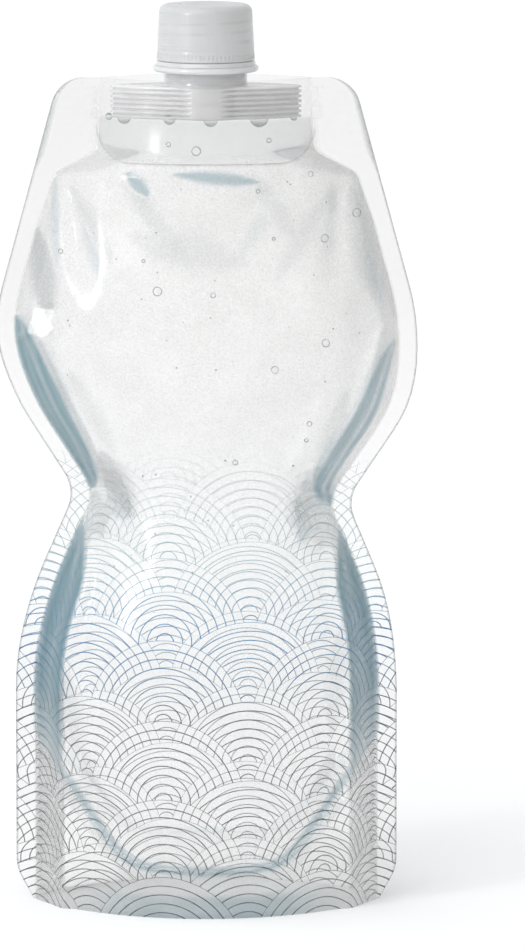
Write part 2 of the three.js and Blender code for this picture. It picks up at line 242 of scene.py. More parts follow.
def beside_line(x, z, start, end):
    """Where a place lies by a line: 0 to 1 along it, and the distance off it."""
    dx, dz = end[0] - start[0], end[1] - start[1]
    along = ((x - start[0]) * dx + (z - start[1]) * dz) / (dx * dx + dz * dz)
    off = abs((x - start[0]) * dz - (z - start[1]) * dx) / math.hypot(dx, dz)
    return along, off


# painted shade on folds, from end to end, half width at the middle, strength: above zero a painted
# blue-green shade that lets less light through, below zero a painted grey shade
SHADES = [
    ((-55, 222), (-51, 193), 5.5, -0.95), ((47, 236), (55, 198), 5.5, -0.5),
    ((15, 241), (31, 217), 4.0, -0.4), ((-27, 238), (-4, 211), 4.5, -0.45),
    ((-36, 149), (-25, 128), 6.0, -0.8), ((36, 147), (26, 126), 6.0, -0.6),
    ((-26, 221), (14, 212), 8.0, -0.3), ((-44, 236), (-30, 212), 4.0, -0.35),
    ((40, 234), (22, 206), 4.0, -0.3), ((-46, 176), (-31, 148), 4.0, -0.3),
    ((45, 172), (34, 146), 4.0, -0.3), ((-46, 80), (-42, 50), 4.5, -0.45),
    ((44, 96), (41, 58), 4.5, -0.4), ((-26, 241), (-18, 233), 3.0, 1.0),
    ((-10, 240.5), (18, 238), 2.6, 1.0), ((-40, 226), (-33, 205), 3.0, 0.35),
    ((-49, 238), (-49, 205), 2.2, 0.4), ((50, 236), (51, 204), 2.2, 0.3),
    ((-36, 141), (-24, 131), 4.5, 0.5), ((35, 142), (25, 128), 4.5, 0.45),
    ((-27, 236), (-8, 212), 3.5, 0.22), ((26, 236), (10, 214), 3.5, 0.2),
    ((-50, 214), (-52, 196), 4.0, 0.35), ((54, 214), (56, 196), 4.0, 0.3),
]


def shade_at(x, z):
    """The strongest of SHADES at a place."""
    total = 0.0
    for start, end, width, strength in SHADES:
        along, off = beside_line(x, z, start, end)
        if 0 < along < 1:
            reach = width * math.sin(math.pi * along) ** 0.7
            here = strength * (1 - smoothstep(reach * 0.25, reach * 1.2, off))
            total = here if abs(here) > abs(total) else total
    return total


# folds pressed into a panel, from end to end, half width, depth
FOLDS = [
    ((-46, 150), (-30, 128), 4.0, 1.8), ((-42, 140), (-24, 112), 4.5, 1.3),
    ((47, 149), (31, 130), 4.0, 1.8), ((43, 139), (27, 110), 4.5, 1.3),
    ((-50, 196), (-44, 160), 5.0, 1.2), ((52, 194), (45, 158), 5.0, 1.2),
    ((-44, 238), (-40, 206), 4.0, 1.6), ((45, 238), (41, 204), 4.0, 1.6),
    ((-30, 241), (-14, 226), 3.5, 1.2), ((28, 240), (13, 229), 3.5, 1.2),
    ((-50, 52), (-34, 30), 4.0, 1.2), ((50, 52), (36, 30), 4.0, 1.2),
    ((-52, 92), (-40, 76), 5.0, 0.8), ((52, 96), (41, 80), 5.0, 0.8),
]
FOLD_STRENGTH = 1.35


def fold_depth(x, z):
    total = 0.0
    for start, end, width, depth in FOLDS:
        along, off = beside_line(x, z, start, end)
        if -0.3 < along < 1.3:
            ends = smoothstep(-0.3, 0.2, along) * (1 - smoothstep(0.6, 1.3, along))
            total += FOLD_STRENGTH * depth * ends * math.exp(-(off / width) ** 2)
    return total


# a flat place at the left side corner that faces half way between the front and the key light, so
# that it shines white
GLINT_X, GLINT_Z, GLINT_HALF_WIDTH, GLINT_HALF_HEIGHT = -53.6, 191.8, 3.9, 4.8
GLINT_SLOPE_X, GLINT_SLOPE_Z = 0.433, -0.26
GLINT_LEAN, GLINT_EDGE = 0.35, 2.2


def add_glint(x, z, depth):
    """The panel's depth with the shining place pressed into it."""
    across = abs(x - GLINT_X - GLINT_LEAN * (z - GLINT_Z)) - GLINT_HALF_WIDTH
    up = abs(z - GLINT_Z) - GLINT_HALF_HEIGHT
    inside = (1 - smoothstep(0, GLINT_EDGE, across)) * (1 - smoothstep(0, GLINT_EDGE, up))
    if inside == 0:
        return depth
    middle = panel_depth(GLINT_X, GLINT_Z)
    plane = middle + GLINT_SLOPE_X * (x - GLINT_X) + GLINT_SLOPE_Z * (z - GLINT_Z)
    return mix(depth, plane, inside)


def fold_height(x):
    """Height of the line where the gusset leaves the panels."""
    past = abs(x) - GUSSET_FLAT
    return GUSSET_HEIGHT + GUSSET_SLOPE * (math.hypot(past, GUSSET_BLEND) + past) / 2


def above_fold(x, z):
    """How far a point of the panel is above the gusset's weld, square to it."""
    lean = fold_height(abs(x) + 0.5) - fold_height(abs(x) - 0.5)
    return (z - fold_height(x)) / math.hypot(1, lean)


def blade_width(z):
    """Width of the steep side of a panel, from the seam to the ridge where it turns forward."""
    upper = clamp01((z - WAIST_HEIGHT - 1) / (BLADE_TOP - WAIST_HEIGHT - 1))
    lower = smoothstep(WAIST_HEIGHT - 4, WAIST_HEIGHT - 32, z)
    return UPPER_BLADE * math.sin(math.pi * upper) ** 0.5 + LOWER_BLADE * lower


def panel_depth(x, z, folds=True, glint=False):
    """Distance of a panel's outside from the seam plane."""
    width = seam(z)
    across = clamp01(abs(x) / width)
    to_spout = smoothstep(NECKLINE - 15, BOAT_BOTTOM, z)
    to_skirt = 1 - smoothstep(0, GUSSET_HEIGHT * 3, z)
    fullness = mix(mix(0.62, 1.0, to_spout), 0.75, to_skirt)
    swell = (1 - across * across) ** fullness
    depth = WELD_HALF + (middle_depth(z) + CAD_HALF_FILM - WELD_HALF) * swell
    steep_width = blade_width(z)
    if steep_width > 0.5:
        past_ridge = (width - abs(x) - steep_width) / RIDGE_WIDTH
        depth += RIDGE_RISE * middle_depth(z) * math.exp(-past_ridge ** 2) * clamp01(steep_width / 5)
    if folds and swell > 0:
        # folds fade out at the seam, around the spout and on the skirt's rim
        hold = clamp01(swell * 2.2) * (1 - to_spout) * smoothstep(2, 22, z)
        slack = 0.35 * noise.noise(Vector((x * 0.035, z * 0.05, 3.1)))
        depth -= hold * (fold_depth(x, z) + slack + 0.3)
        from_weld = above_fold(x, z) / GROOVE_WIDTH
        depth -= GROOVE_DEPTH * clamp01(swell * 2) * math.exp(-from_weld ** 2)
    if glint:
        depth = add_glint(x, z, depth)
    return max(WELD_HALF, depth)


def skirt_depth(x, z):
    """Distance of the gusset's skirt from the seam plane."""
    lean = panel_depth(abs(x) + 0.5, z, False) - panel_depth(abs(x) - 0.5, z, False)
    return panel_depth(x, z, False) - (SKIN + GUSSET_GAP) * math.hypot(1, lean)


def gusset_height(x, y):
    """Height of the gusset's floor above (x, y)."""
    top = fold_height(x)
    reach = max(1.0, skirt_depth(x, top))
    sag = GUSSET_SAG * min(1, reach / DEPTHS[0][0] + 0.25)
    return top - sag * (1 - clamp01(abs(y) / reach) ** 2)


# ---------------------------------------------------------------- mesh helpers

def add_object(name, data):
    added = bpy.data.objects.new(name, data)
    bpy.context.collection.objects.link(added)
    return added


def add_mesh(name, mesh, material, smooth=True):
    mesh.materials.append(material)
    mesh.polygons.foreach_set("use_smooth", [smooth] * len(mesh.polygons))
    return add_object(name, mesh)


def from_bmesh(name, bm, material, smooth=True):
    mesh = bpy.data.meshes.new(name)
    bm.to_mesh(mesh)
    bm.free()
    return add_mesh(name, mesh, material, smooth)


def make_object(name, vertices, faces, material):
    mesh = bpy.data.meshes.new(name)
    mesh.from_pydata([Vector(v) * MM for v in vertices], [], faces)
    mesh.validate()
    return add_mesh(name, mesh, material)


def grid_faces(rows, columns, wrap=False, flip=False):
    faces = []
    for r in range(rows - 1):
        for c in range(columns if wrap else columns - 1):
            a, b = r * columns + c, r * columns + (c + 1) % columns
            quad = (a, b, b + columns, a + columns)
            faces.append(quad[::-1] if flip else quad)
    return faces


def store(piece, name, values):
    """Keeps three numbers at each point for the material. `flat` is the place on the flat film in
    millimetres and how much painted blue-green shade it gets; `zone` says chamber, air pocket and the
    painted shade of a fold or of the cut edge."""
    layer = piece.data.attributes.new(name, "FLOAT_VECTOR", "POINT")
    layer.data.foreach_set("vector", [n for v in values for n in v])


def thicken(piece, even=True, inner_slot=0):
    """Turns an open sheet into a closed one, SKIN thick, thickened inwards."""
    solid = piece.modifiers.new("thickness", "SOLIDIFY")
    solid.thickness = SKIN * MM
    solid.offset = -1.0
    solid.use_even_offset = even
    solid.material_offset = inner_slot
    bpy.context.view_layer.objects.active = piece
    bpy.ops.object.modifier_apply(modifier=solid.name)


def spun(name, profile, material, steps):
    """A closed ring or disc turned about Z. `profile` is a closed list of (radius, z) or a function
    of the angle that gives one."""
    get = profile if callable(profile) else (lambda angle: profile)
    rings = [get(2 * math.pi * k / steps) for k in range(steps)]
    count = len(rings[0])
    vertices = []
    for k, ring in enumerate(rings):
        a = 2 * math.pi * k / steps
        vertices += [(r * math.cos(a), r * math.sin(a), z) for r, z in ring]
    faces = []
    for k in range(steps):
        n = (k + 1) % steps
        for i in range(count):
            j = (i + 1) % count
            faces.append((k * count + i, n * count + i, n * count + j, k * count + j))
    piece = make_object(name, vertices, faces, material)
    bm = bmesh.new()
    bm.from_mesh(piece.data)
    bmesh.ops.remove_doubles(bm, verts=bm.verts, dist=1e-7)
    bmesh.ops.recalc_face_normals(bm, faces=bm.faces)
    bm.to_mesh(piece.data)
    bm.free()
    return piece


# ---------------------------------------------------------------- shader helpers

class Nodes:
    """A short way to write the node tree of a material, or of the world."""

    def __init__(self, name, world=None):
        self.material = world or bpy.data.materials.new(name)
        self.material.use_nodes = True
        self.tree = self.material.node_tree
        self.tree.nodes.clear()
        self.output = self.add("ShaderNodeOutputWorld" if world else "ShaderNodeOutputMaterial")

    def add(self, kind, inputs=None, **settings):
        node = self.tree.nodes.new(kind)
        for key, value in settings.items():
            setattr(node, key, value)
        for key, value in (inputs or {}).items():
            if isinstance(value, bpy.types.NodeSocket):
                self.tree.links.new(value, node.inputs[key])
            else:
                node.inputs[key].default_value = value
        return node

    def math(self, operation, *values, clamp=False):
        node = self.add("ShaderNodeMath", dict(enumerate(values)), operation=operation)
        node.use_clamp = clamp
        return node.outputs[0]

    def times(self, *values, **options):
        return self.math("MULTIPLY", *values, **options)

    def times_plus(self, *values, **options):
        return self.math("MULTIPLY_ADD", *values, **options)

    def minus(self, *values):
        return self.math("SUBTRACT", *values)

    def ramp(self, factor, stops, interpolation="LINEAR"):
        node = self.add("ShaderNodeValToRGB", {"Fac": factor})
        node.color_ramp.interpolation = interpolation
        elements = node.color_ramp.elements
        while len(elements) < len(stops):
            elements.new(0.5)
        for element, (place, colour) in zip(elements, stops):
            element.position = place
            element.color = (*colour, 1) if len(colour) == 3 else colour
        return node.outputs["Color"]

    def span(self, value, low, high, to_low=0.0, to_high=1.0, kind="SMOOTHSTEP"):
        return self.add("ShaderNodeMapRange", {
            "Value": value, "From Min": low, "From Max": high, "To Min": to_low, "To Max": to_high},
            interpolation_type=kind).outputs["Result"]

    def mix_colour(self, factor, first, second):
        node = self.add("ShaderNodeMix", data_type="RGBA")
        sockets = [i for i in node.inputs if i.type == "RGBA"]
        for socket, value in zip((node.inputs["Factor"], *sockets), (factor, first, second)):
            if isinstance(value, bpy.types.NodeSocket):
                self.tree.links.new(value, socket)
            else:
                socket.default_value = value
        return [o for o in node.outputs if o.type == "RGBA"][0]

    def mix_shader(self, factor, first, second):
        node = self.add("ShaderNodeMixShader", {0: factor, 1: first, 2: second})
        return node.outputs[0]

    def noise(self, scale, detail=3.0, roughness=0.5, vector=None, distortion=0.0):
        node = self.add("ShaderNodeTexNoise", {
            "Scale": scale, "Detail": detail, "Roughness": roughness, "Distortion": distortion})
        self.tree.links.new(vector or self.place(), node.inputs["Vector"])
        return node.outputs["Fac"]

    def place(self):
        return self.add("ShaderNodeTexCoord").outputs["Object"]

    def parts(self, vector):
        return self.add("ShaderNodeSeparateXYZ", {0: vector}).outputs[:]

    def stored(self, name):
        """The three numbers that store() kept."""
        return self.parts(self.add("ShaderNodeAttribute", attribute_name=name).outputs["Vector"])

    def bump(self, height, distance, strength=1.0):
        return self.add("ShaderNodeBump", {
            "Height": height, "Distance": distance, "Strength": strength}).outputs["Normal"]

    def finish(self, shader):
        self.tree.links.new(shader, self.output.inputs["Surface"])
        return self.material

    def finish_clear(self, share, clear, tone, roughness):
        """Clear where `share` is 0, and a glossy `tone` where it is 1."""
        see_through = self.add("ShaderNodeBsdfTransparent", {"Color": (*clear, 1)})
        solid = self.add("ShaderNodeBsdfPrincipled", {"Base Color": tone, "Roughness": roughness})
        return self.finish(self.mix_shader(share, see_through.outputs[0], solid.outputs[0]))


# ---------------------------------------------------------------- the print: overlapping fans of arcs

FAN_PITCH = 27.5      # between columns
FAN_RISE = 25.65      # between one fan and the next above it
FAN_RADIUS = 26.4
FAN_ARCS = 9
FAN_TOP = 19.8        # top of the lowest whole fan in the first set of columns
FAN_DROP = 6.25       # how much lower the other columns sit
LINE = 0.34           # width of a printed line
PRINT_TOP = 150.0


def print_mask(n, u, v):
    """1 on the printed lines, from the place (u, v) on the flat film in millimetres."""

    def column(offset, top):
        place = n.minus(u, offset)
        nearest = n.math("ROUND", n.math("DIVIDE", place, 2 * FAN_PITCH))
        across = n.minus(place, n.times(nearest, 2 * FAN_PITCH))
        room = n.minus(FAN_RADIUS ** 2, n.times(across, across))
        reach = n.math("SQRT", n.math("MAXIMUM", room, 0.0))
        low = n.minus(n.minus(v, reach), top - FAN_RADIUS)
        steps = n.math("CEIL", n.math("DIVIDE", low, FAN_RISE))
        centre = n.times_plus(steps, FAN_RISE, top - FAN_RADIUS)
        missing = n.math("LESS_THAN", room, 0.0)
        return across, n.times_plus(missing, 1000.0, centre)

    across_a, centre_a = column(FAN_PITCH / 2, FAN_TOP)
    across_b, centre_b = column(-FAN_PITCH / 2, FAN_TOP - FAN_DROP)
    second = n.math("LESS_THAN", centre_b, centre_a)
    first = n.minus(1.0, second)
    across = n.math("ADD", n.times(across_a, first), n.times(across_b, second))
    centre = n.math("MINIMUM", centre_a, centre_b)
    up = n.minus(v, centre)
    squares = n.math("ADD", n.times(across, across), n.times(up, up))
    distance = n.math("SQRT", squares)
    step = FAN_RADIUS / FAN_ARCS
    arc = n.math("MAXIMUM", n.math("ROUND", n.math("DIVIDE", distance, step)), 1.0)
    off = n.math("ABSOLUTE", n.minus(distance, n.times(arc, step)))
    return n.span(off, LINE * 0.4, LINE * 0.62, 1.0, 0.0)


# painted shade: blue-green on the steep sides, the gusset's weld and some folds, grey on other folds
# and the cut edge; one colour for what is seen through the film, one for its milky part
TEAL_SHADE_THROUGH, TEAL_SHADE_MILK = (0.62, 0.72, 0.76, 1), (0.26, 0.39, 0.43, 1)
GREY_SHADE_THROUGH, GREY_SHADE_MILK = (0.86, 0.865, 0.865, 1), (0.60, 0.61, 0.61, 1)
AIR_THROUGH = (0.940, 0.939, 0.937, 1)
WHITE = (1, 1, 1, 1)


def film_material(name, haze, ink=0.0, shine=0.7, darker=1.0):
    """Glossy film. `haze` is how milky the chamber looks, `ink` how strong the print is, `shine` how
    much it reflects and `darker` how much of the film's own tone it has."""
    n = Nodes(name)
    u, v, steep_shade = n.stored("flat")
    chamber, air, fold = n.stored("zone")
    place = n.place()
    cloudy = n.noise(38.0, 4.0, 0.55, place)
    speckle = n.noise(1500.0, 2.0, 0.6, place)
    grain = n.noise(620.0, 3.0, 0.6, place)

    # the colour of what is seen through the film
    uneven = n.span(cloudy, 0.25, 0.6, 0.75, 1.0)
    # painted shade: blue-green on the steep sides and folds, and a stippled grey on other folds and the
    # cut edge
    shade = n.math("MAXIMUM", n.times(steep_shade, uneven), n.times(fold, 0.6))
    grey_shade = n.times(fold, n.span(speckle, 0.3, 0.7, -1.3, -0.7), clamp=True)
    share = n.span(v, 0.0, POUCH_HEIGHT, kind="LINEAR")
    mottle = n.times_plus(cloudy, 0.04, -0.02)
    clear = n.ramp(n.math("ADD", share, mottle), [
        (0.0, (0.993, 0.991, 0.988)), (0.12, (0.976, 0.975, 0.974)), (0.27, (0.974, 0.976, 0.977)),
        (0.42, (0.992, 0.993, 0.993)), (0.6, (0.990, 0.986, 0.985)), (0.75, (0.978, 0.974, 0.972)),
        (1.0, (0.972, 0.968, 0.966))])
    airy = n.times(air, n.span(v, BOAT_BOTTOM + 1, BOAT_BOTTOM - 1))
    clear = n.mix_colour(airy, clear, AIR_THROUGH)
    clear = n.mix_colour(grey_shade, clear, GREY_SHADE_THROUGH)
    if darker < 1:
        clear = n.mix_colour(1 - darker, clear, WHITE)
    through = n.add("ShaderNodeBsdfTransparent", {"Color": n.mix_colour(shade, clear, TEAL_SHADE_THROUGH)})

    # the milky part: lit from both sides, finely grained
    milk = n.ramp(n.times_plus(cloudy, 0.4, n.times(speckle, 0.6)), [
        (0.36, (0.76, 0.75, 0.743)), (0.5, (0.90, 0.889, 0.882)), (0.64, (1.0, 0.99, 0.983))])
    # the milky part takes the same painted grey and blue-green shade
    milk = n.mix_colour(grey_shade, milk, GREY_SHADE_MILK)
    milk = n.mix_colour(shade, milk, TEAL_SHADE_MILK)
    front_lit = n.add("ShaderNodeBsdfDiffuse", {"Color": milk})
    back_lit = n.add("ShaderNodeBsdfTranslucent", {"Color": milk})
    milky = n.mix_shader(0.45, front_lit.outputs[0], back_lit.outputs[0])
    upper = n.span(v, WAIST_HEIGHT - 13.8, WAIST_HEIGHT + 31.2, 0.37, 1.0)
    patches = n.span(cloudy, 0.25, 0.75, haze * 0.8, haze)
    amount = n.times(n.times(chamber, upper), patches)
    amount = n.times_plus(shade, haze * 0.5, amount)
    amount = n.times_plus(grain, haze * 0.12, amount)
    amount = n.times_plus(airy, haze * 0.3, amount, clamp=True)
    base = n.mix_shader(amount, through.outputs[0], milky)

    # gloss, with the small ripples of a filled film
    ripples = n.noise(170.0, 3.0, 0.55, place)
    height = n.times_plus(ripples, 0.6, n.times(grain, 0.25))
    normal = n.bump(height, 0.0006, 0.2)
    gloss = n.add("ShaderNodeBsdfGlossy", {"Color": WHITE, "Roughness": 0.16, "Normal": normal})
    fresnel = n.add("ShaderNodeFresnel", {"IOR": 1.42, "Normal": normal})
    surface = n.mix_shader(n.times(fresnel.outputs[0], shine), base, gloss.outputs[0])

    if ink:
        share = n.span(v, 0.0, PRINT_TOP, kind="LINEAR")
        colour = n.ramp(share, [
            (0.0, (0.04, 0.04, 0.045)), (0.44, (0.05, 0.055, 0.07)), (0.53, (0.01, 0.11, 0.24)),
            (0.63, (0.005, 0.15, 0.33)), (0.72, (0.04, 0.22, 0.29)), (0.82, (0.14, 0.27, 0.30)),
            (1.0, (0.28, 0.34, 0.35))])
        strength = n.ramp(share, [
            (0.0, (0.95,) * 3), (0.5, (0.95,) * 3), (0.62, (0.95,) * 3), (0.74, (0.62,) * 3),
            (0.86, (0.55,) * 3), (0.955, (0.4,) * 3), (0.985, (0.0,) * 3)])
        worn = n.span(n.noise(95.0, 2.0, 0.5, place), 0.2, 0.75, 0.75 * ink, ink)
        mask = n.times(n.times(print_mask(n, u, v), strength), worn)
        printed = n.add("ShaderNodeBsdfPrincipled", {
            "Base Color": colour, "Roughness": 0.4, "Specular IOR Level": 0.25})
        surface = n.mix_shader(mask, surface, printed.outputs[0])
    return n.finish(surface)


THREAD_SHADE_GREY = (0.40, 0.405, 0.41, 1)


def plastic_material(name, light, dark, roughness, streaks, sheen=0.0, glare_up_to=None, thread=None):
    """Milky moulded plastic with faint flow marks. Up to the given height it is bonded to the film and
    painted paler, a painted glare from the film in front. `thread` is the range of heights where the
    thread inside shows faintly, painted on as darker lines of shade."""
    n = Nodes(name)
    place = n.place()
    stretched = n.add("ShaderNodeMapping", {"Vector": place, "Scale": streaks})
    flow = n.noise(60.0, 4.0, 0.6, stretched.outputs[0], 0.4)
    mottled = n.noise(220.0, 3.0, 0.5, place)
    colour = n.ramp(n.times_plus(mottled, 0.25, n.times(flow, 0.75)), [
        (0.3, dark), (0.7, light)])
    # painted glare: paler below the given height, where the film lies in front
    if glare_up_to:
        glare_share = n.span(n.parts(place)[2], (glare_up_to + 0.8) * MM, glare_up_to * MM)
        glare_pale = n.ramp(flow, [(0.3, (0.70, 0.70, 0.705)), (0.7, (0.79, 0.79, 0.795))])
        colour = n.mix_colour(glare_share, colour, glare_pale)
    # painted shade: faint darker lines where the thread inside shows through the wall
    if thread:
        x, y, z = n.parts(place)
        angle = n.math("DIVIDE", n.math("ARCTAN2", y, x), 2 * math.pi)
        turn = n.math("FRACT", n.minus(n.math("DIVIDE", z, PITCH * MM), angle))
        ridge = n.span(n.math("ABSOLUTE", n.minus(turn, 0.5)), 0.06, 0.2, 1.0, 0.0)
        low, high = thread
        above_low = n.span(z, low * MM, (low + 1) * MM)
        below_high = n.span(z, high * MM, (high - 1) * MM)
        reach = n.times(above_low, below_high)
        patchy = n.times(reach, n.span(n.noise(70.0, 1.0, 0.5, place), 0.4, 0.6))
        share = n.times(ridge, n.times(patchy, 0.35))
        colour = n.mix_colour(share, colour, THREAD_SHADE_GREY)
    grain = n.noise(900.0, 2.0, 0.5, place)
    height = n.times_plus(grain, 0.4, n.times(flow, 0.6))
    shader = n.add("ShaderNodeBsdfPrincipled", {
        "Base Color": colour,
        "Roughness": n.span(flow, 0.3, 0.7, roughness - 0.06, roughness + 0.08),
        "Normal": n.bump(height, 0.0002, 0.3),
        "Subsurface Weight": 0.35,
        "Subsurface Radius": (0.006, 0.006, 0.0065),
        "Subsurface Scale": 1.0,
        "Coat Weight": sheen,
        "Coat Roughness": 0.12})
    return n.finish(shader.outputs[0])


def water_edge_material():
    """The waterline: a thin line of painted shade, of uneven strength."""
    n = Nodes("water_edge")
    patchy = n.noise(160.0, 2.0, 0.5)
    tone = n.ramp(patchy, [(0.3, (0.30, 0.35, 0.36)), (0.7, (0.50, 0.55, 0.56))])
    return n.finish_clear(n.span(patchy, 0.3, 0.7, 0.25, 0.75), (0.95, 0.96, 0.965), tone, 0.1)


def drop_material():
    """A hanging drop: clear above, with painted shade along its lower edge and darker where seen
    edge-on.
    """
    n = Nodes("water_drop")
    facing = n.add("ShaderNodeLayerWeight", {"Blend": 0.5}).outputs["Facing"]
    normal = n.add("ShaderNodeNewGeometry").outputs["Normal"]
    # painted shade on the drop's underside
    down = n.span(n.parts(normal)[2], 0.1, -0.75)
    uneven = n.noise(700.0, 2.0, 0.5)
    tone = n.ramp(uneven, [(0.3, (0.18, 0.22, 0.23)), (0.7, (0.38, 0.43, 0.44))])
    rim = n.math("MAXIMUM", n.span(facing, 0.3, 0.9, 0.04, 0.55), n.times(down, 0.85))
    return n.finish_clear(rim, (0.97, 0.975, 0.98), tone, 0.04)


def bubble_material():
    """The rim of an air bubble against the film: painted grey shade, of uneven strength."""
    n = Nodes("bubble")
    wobble = n.noise(420.0, 2.0, 0.5)
    tone = n.ramp(wobble, [(0.3, (0.20, 0.22, 0.23)), (0.7, (0.44, 0.47, 0.48))])
    return n.finish_clear(n.span(wobble, 0.35, 0.65, 0.25, 0.85), (0.98, 0.985, 0.99), tone, 0.05)


def seal_material():
    n = Nodes("seal_foam")
    cells = n.add("ShaderNodeTexVoronoi", {"Vector": n.place(), "Scale": 2600.0})
    colour = n.ramp(cells.outputs["Distance"], [(0.1, (0.70, 0.70, 0.68)), (0.7, (0.90, 0.90, 0.88))])
    shader = n.add("ShaderNodeBsdfPrincipled", {
        "Base Color": colour, "Roughness": 0.8,
        "Normal": n.bump(cells.outputs["Distance"], 0.0002, 0.5)})
    return n.finish(shader.outputs[0])


PRINTED_FILM = film_material("printed_film", haze=0.62, ink=0.95)
PRINTED_BACK = film_material("printed_back_film", haze=0.3, ink=0.9)
PLAIN_FILM = film_material("plain_film", haze=0.04, shine=0.2)
GUSSET_FILM = film_material("gusset_film", haze=0.02, shine=0.12, darker=0.25)
SPOUT_PLASTIC = plastic_material(
    "spout_plastic", light=(0.63, 0.635, 0.64), dark=(0.51, 0.515, 0.52), roughness=0.2,
    streaks=(1, 1, 6), sheen=0.8, glare_up_to=BOAT_TOP)
CAP_PLASTIC = plastic_material(
    "cap_plastic", light=(0.535, 0.54, 0.545), dark=(0.51, 0.515, 0.52), roughness=0.32,
    streaks=(1, 1, 8), sheen=0.3, thread=(CAP_LOW.z / MM + 6, CAP_HIGH.z / MM - 4))
WATER_EDGE = water_edge_material()
DROP = drop_material()
BUBBLE = bubble_material()
SEAL_FOAM = seal_material()

# ---------------------------------------------------------------- film panels

EDGE_HAZE, EDGE_SHADE = 0.45, -1.0    # the cut edge is painted as a thin line of grey shade
COLUMNS = 66          # across half of the chamber
WELD_COLUMNS = 8
ROWS = 300


def row_heights():
    """Evenly spaced, with the outline's rounded top corner followed closely."""
    corner = [p.y for p in OUTLINE if p.y > POUCH_HEIGHT - TOP_RADIUS]
    even = [corner[0] * r / ROWS for r in range(ROWS)]
    return even + corner


def weld_relief(x, z):
    """The welds' pressed pattern: a raised line beside the chamber and a frame round the spout."""
    width, edge = seam(z), half_width(z)
    if abs(x) < width or z > POUCH_HEIGHT - 2:
        return 0.0
    from_seam = abs(x) - width
    lift = 0.16 * math.exp(-((from_seam - 0.9) / 0.5) ** 2)
    from_edge = edge - abs(x)
    return lift + 0.06 * math.exp(-((from_edge - 0.8) / 0.4) ** 2)


def in_chamber(x, z):
    """1 where the film is free, fading to 0 on the side welds and below the gusset's weld."""
    width = seam(z)
    return (1 - smoothstep(width - 0.3, width + 0.4, abs(x))) * smoothstep(-0.4, 0.4, above_fold(x, z))


def steep_side_shade(x, z, side):
    """How much painted blue-green shade a place gets: on the steep blades, and along the gusset's weld.
    """
    inside, over, from_seam = in_chamber(x, z), above_fold(x, z), seam(z) - abs(x)
    upper_right = smoothstep(0, 20, x) * smoothstep(WAIST_HEIGHT - 10, WAIST_HEIGHT + 10, z)
    lower_right = smoothstep(0, 20, x) - upper_right

    blade = blade_width(z + 7 * upper_right)
    gap = RIGHT_BLADE_GAP * upper_right * clamp01(blade / 8)
    wide = blade * (1 - 0.22 * upper_right) + gap
    steep_shade = inside * (1 - smoothstep(wide - 1.0, wide + 0.5, from_seam)) * clamp01(wide / 2)
    steep_shade *= mix(1, smoothstep(gap - 0.7, gap + 0.6, from_seam), upper_right)
    steep_shade *= 0.93 + 0.07 * math.cos(from_seam * (2.2 + 1.2 * upper_right) + 0.02 * z)
    # painted highlight: less blue-green shade along a line inside each blade, the ridge's highlight
    ridge_highlight = math.exp(-((from_seam - 0.55 * wide) / 0.7) ** 2)
    steep_shade *= 1 - mix(0.3, 0.7, upper_right) * ridge_highlight

    rim = 1.2 + 1.3 * smoothstep(22, 36, abs(x))
    along_weld = (1.0 if side > 0 else 0.25) * inside * (1 - smoothstep(rim - 1.0, rim + 1.0, over))
    along_weld *= 0.68 - 0.25 * smoothstep(38, 50, abs(x))
    steep_shade = max(steep_shade * mix(0.55, 1, smoothstep(0, 14, over)), along_weld)
    return steep_shade * (1 - 0.3 * upper_right - 0.15 * lower_right)


def film_zone(x, z, side, cut_edge):
    """What a place of a panel shows: (chamber or frosted pad, air pocket, painted shade of fold or
    edge).
    """
    inside = in_chamber(x, z)
    air = pocket(x, z) * inside
    if cut_edge:
        return max(inside * (1 - air), EDGE_HAZE), air, EDGE_SHADE
    past = abs(x) - SPOUT_SEAM
    pad = smoothstep(0, 0.5, past) * (1 - smoothstep(3, 3.6, past))
    pad *= 0.5 * smoothstep(BOAT_BOTTOM - 1, BOAT_BOTTOM, z)
    pad *= 1 - smoothstep(BOAT_TOP - 1, BOAT_TOP + 0.5, z)
    fold = shade_at(x, z) * inside if side > 0 else 0.0
    return max(inside * (1 - air), pad), air, fold


def half_row(z, side, sign):
    """One half of a panel's row, from the middle out: (x, depth, length from the middle)."""
    width, edge = seam(z), half_width(z)
    xs = [width * math.sin(math.pi / 2 * c / COLUMNS) for c in range(COLUMNS + 1)]
    xs += [mix(width, edge, c / WELD_COLUMNS) for c in range(1, WELD_COLUMNS + 1)]
    length, before = 0.0, None
    row = []
    for x in xs:
        depth = panel_depth(sign * x, z, True, side > 0) + weld_relief(sign * x, z)
        if before is not None:
            length += math.hypot(x - before[0], depth - before[1])
        before = (x, depth)
        row.append((sign * x, depth, sign * length))
    return row


def make_panel(name, side):
    """side 1 is the front panel, -1 the back one."""
    heights = row_heights()
    vertices, flat, zone = [], [], []
    for z in heights:
        row = half_row(z, side, -1)[:0:-1] + half_row(z, side, 1)
        for c, (x, depth, length) in enumerate(row):
            x_now, z_now = settle(x, z)
            vertices.append((x_now, -side * depth, z_now))
            flat.append((length * side, z, steep_side_shade(x, z, side)))
            zone.append(film_zone(x, z, side, c in (0, len(row) - 1)))
    faces = grid_faces(len(heights), len(row), flip=side < 0)
    panel = make_object(f"{name}_panel", vertices, faces, PRINTED_FILM if side > 0 else PRINTED_BACK)
    store(panel, "flat", flat)
    store(panel, "zone", zone)
    panel.data.materials.append(PLAIN_FILM)
    thicken(panel, even=False, inner_slot=1)
    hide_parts(name)
    return panel


def follow_wall(piece):
    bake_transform(piece)


GUSSET_SIDE_GAP = 1.2
SKIRT_ROWS, FLOOR_ROWS, GUSSET_COLUMNS = 10, 26, 44    # the columns are of one half


